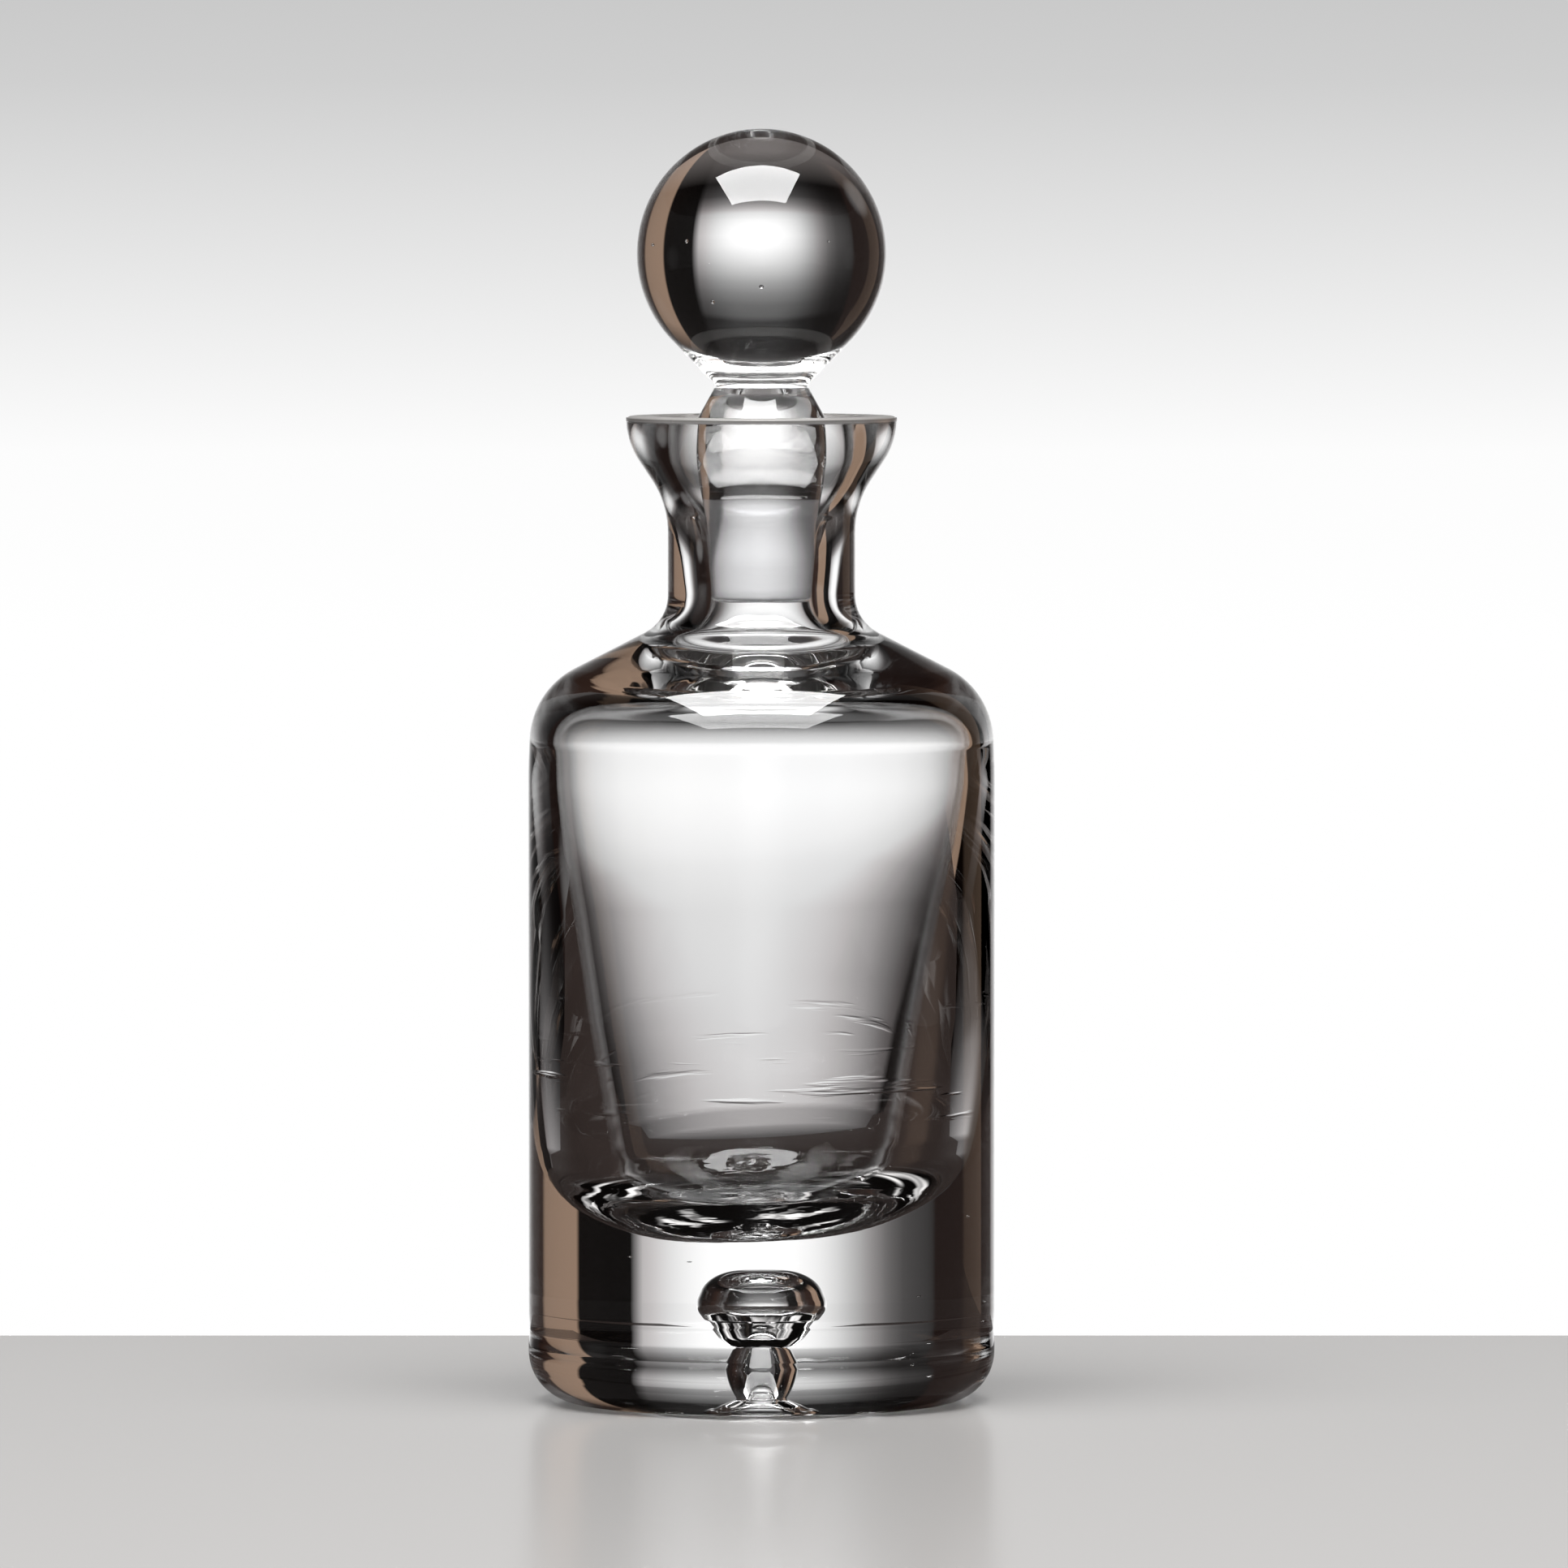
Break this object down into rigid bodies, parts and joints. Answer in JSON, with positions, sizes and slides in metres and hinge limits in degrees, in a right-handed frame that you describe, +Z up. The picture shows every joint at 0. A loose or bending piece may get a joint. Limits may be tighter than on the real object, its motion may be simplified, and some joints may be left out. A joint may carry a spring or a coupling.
{
  "type": "decanter",
  "caption": "Thick-walled round glass decanter with a sloping shoulder, flared mouth, bubble in the base, and a solid ball stopper on a ground plug.",
  "frame": {"origin": "centre of the flat base", "axes": "+Z up the axis of the bottle towards the stopper; the cavity floor leans down towards -X"},
  "size_m": [0.11, 0.11, 0.3002],
  "materials": {
    "bottle_glass": "clear, fire-polished",
    "plug_glass": "ground satin cone below a clear knop",
    "ball_glass": "clear, fire-polished"
  },
  "bodies": {
    "bottle": {"decanter_bottle": "bottle_glass"},
    "stopper": {"stopper_plug": "plug_glass", "stopper_ball": "ball_glass"}
  },
  "joints": [
    {"name": "stopper_lift", "type": "slide", "parent": "bottle", "child": "stopper", "axis": [0, 0, 1], "range_m": [0, 0.075]}
  ]
}
